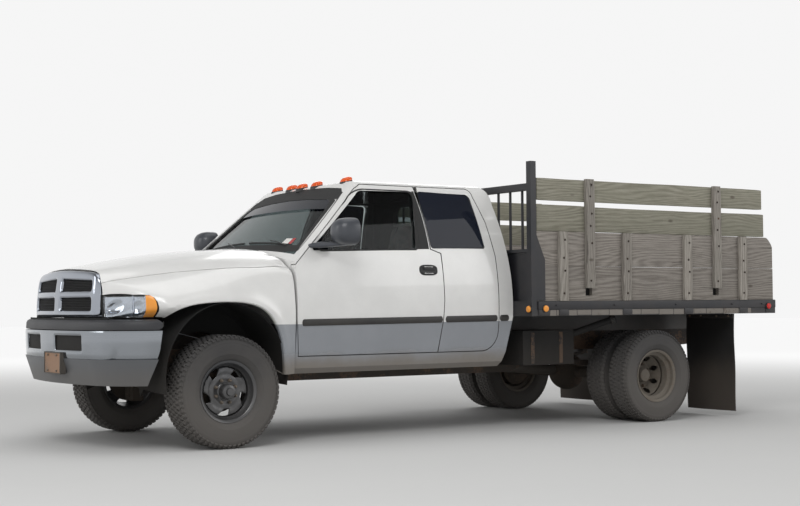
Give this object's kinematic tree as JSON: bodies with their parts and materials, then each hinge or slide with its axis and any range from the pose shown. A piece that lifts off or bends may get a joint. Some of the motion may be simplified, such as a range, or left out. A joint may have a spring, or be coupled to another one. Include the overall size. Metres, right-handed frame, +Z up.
{
  "type": "flatbed pickup truck",
  "caption": "Extended-cab pickup truck with twin rear wheels, cross-bar grille and a flatbed with a barred headboard and wooden stake sides; doors, hood and wheels move.",
  "frame": {"origin": "on the ground, under the middle of the truck's length and width", "axes": "+X forward to the front bumper, +Y to the truck's left, +Z up"},
  "size_m": [6.325, 2.51, 2.132],
  "materials": {
    "white_paint": "gloss",
    "black_steel": "satin",
    "frame_steel": "matt",
    "chrome": "polished",
    "black_plastic": "matt",
    "grey_plastic": "matt",
    "lens": "clear",
    "amber_lens": "clear",
    "glass": "tinted",
    "rubber": "matt",
    "tyre": "matt",
    "wheel_steel": "satin",
    "cast": "rough",
    "alloy": "cast",
    "wood": "weathered",
    "fabric": "woven",
    "painted_plate": "dull"
  },
  "bodies": {
    "chassis": {"cab_shell": "white_paint", "fixed_glass": "glass", "fender_left": "white_paint", "fender_right": "white_paint", "headlamps": "lens", "front_bumper": "chrome", "bumper_pad": "black_plastic", "front_valance": "grey_plastic", "front_plate": "painted_plate", "frame_rail_left": "frame_steel", "frame_rail_right": "frame_steel", "crossmembers": "frame_steel", "bed_sills": "black_steel", "bed_crossbars": "black_steel", "rub_rails": "black_steel", "deck": "wood", "headboard": "black_steel", "stake_side_left": "wood", "stake_side_right": "wood", "mud_flaps": "rubber", "fuel_tank": "frame_steel", "front_axle": "cast", "front_springs": "frame_steel", "rear_springs": "frame_steel", "rear_axle": "cast", "engine": "cast", "drive_line": "alloy", "radiator": "alloy", "exhaust": "wheel_steel", "dashboard": "grey_plastic", "seats": "fabric", "steering_wheel": "black_plastic", "roof_lamps": "amber_lens", "bed_lamps": "amber_lens"},
    "hood": {"hood": "white_paint", "grille": "chrome", "grille_mesh": "black_plastic"},
    "front_door_left": {"front_door_left": "white_paint", "front_glass_left": "glass", "mirror_left": "black_plastic"},
    "front_door_right": {"front_door_right": "white_paint", "front_glass_right": "glass", "mirror_right": "black_plastic"},
    "rear_door_left": {"rear_door_left": "white_paint", "rear_glass_left": "glass"},
    "rear_door_right": {"rear_door_right": "white_paint", "rear_glass_right": "glass"},
    "knuckle_left": {"knuckle_left": "cast"},
    "knuckle_right": {"knuckle_right": "cast"},
    "front_wheel_left": {"front_wheel_left": "wheel_steel", "front_tyre_left": "tyre"},
    "front_wheel_right": {"front_wheel_right": "wheel_steel", "front_tyre_right": "tyre"},
    "rear_wheels_left": {"rear_wheel_left": "wheel_steel", "rear_tyres_left": "tyre"},
    "rear_wheels_right": {"rear_wheel_right": "wheel_steel", "rear_tyres_right": "tyre"}
  },
  "joints": [
    {"name": "hood_lift", "type": "hinge", "parent": "chassis", "child": "hood", "pos_m": [1.6575, 0, 1.365], "axis": [0, -1, 0], "range_deg": [0, 45]},
    {"name": "front_door_left_swing", "type": "hinge", "parent": "chassis", "child": "front_door_left", "pos_m": [1.6555, 0.986, 1], "axis": [0, 0, -1], "range_deg": [0, 65]},
    {"name": "front_door_right_swing", "type": "hinge", "parent": "chassis", "child": "front_door_right", "pos_m": [1.6555, -0.986, 1], "axis": [0, 0, 1], "range_deg": [0, 65]},
    {"name": "rear_door_left_swing", "type": "hinge", "parent": "chassis", "child": "rear_door_left", "pos_m": [-0.2325, 0.986, 1], "axis": [0, 0, 1], "range_deg": [0, 85]},
    {"name": "rear_door_right_swing", "type": "hinge", "parent": "chassis", "child": "rear_door_right", "pos_m": [-0.2325, -0.986, 1], "axis": [0, 0, -1], "range_deg": [0, 85]},
    {"name": "steering_left", "type": "hinge", "parent": "chassis", "child": "knuckle_left", "pos_m": [2.1775, 0.735, 0.4], "axis": [0, 0, 1], "range_deg": [-32, 32]},
    {"name": "steering_right", "type": "hinge", "parent": "chassis", "child": "knuckle_right", "pos_m": [2.1775, -0.735, 0.4], "axis": [0, 0, 1], "range_deg": [-32, 32]},
    {"name": "front_wheel_left_spin", "type": "hinge", "parent": "knuckle_left", "child": "front_wheel_left", "pos_m": [2.1775, 0.87, 0.4], "axis": [0, 1, 0], "continuous": true},
    {"name": "front_wheel_right_spin", "type": "hinge", "parent": "knuckle_right", "child": "front_wheel_right", "pos_m": [2.1775, -0.87, 0.4], "axis": [0, 1, 0], "continuous": true},
    {"name": "rear_wheels_left_spin", "type": "hinge", "parent": "chassis", "child": "rear_wheels_left", "pos_m": [-1.7525, 0.936, 0.385], "axis": [0, 1, 0], "continuous": true},
    {"name": "rear_wheels_right_spin", "type": "hinge", "parent": "chassis", "child": "rear_wheels_right", "pos_m": [-1.7525, -0.936, 0.385], "axis": [0, 1, 0], "continuous": true}
  ],
  "couplings": [
    {"joint": "steering_right", "follows": "steering_left", "ratio": 1}
  ]
}
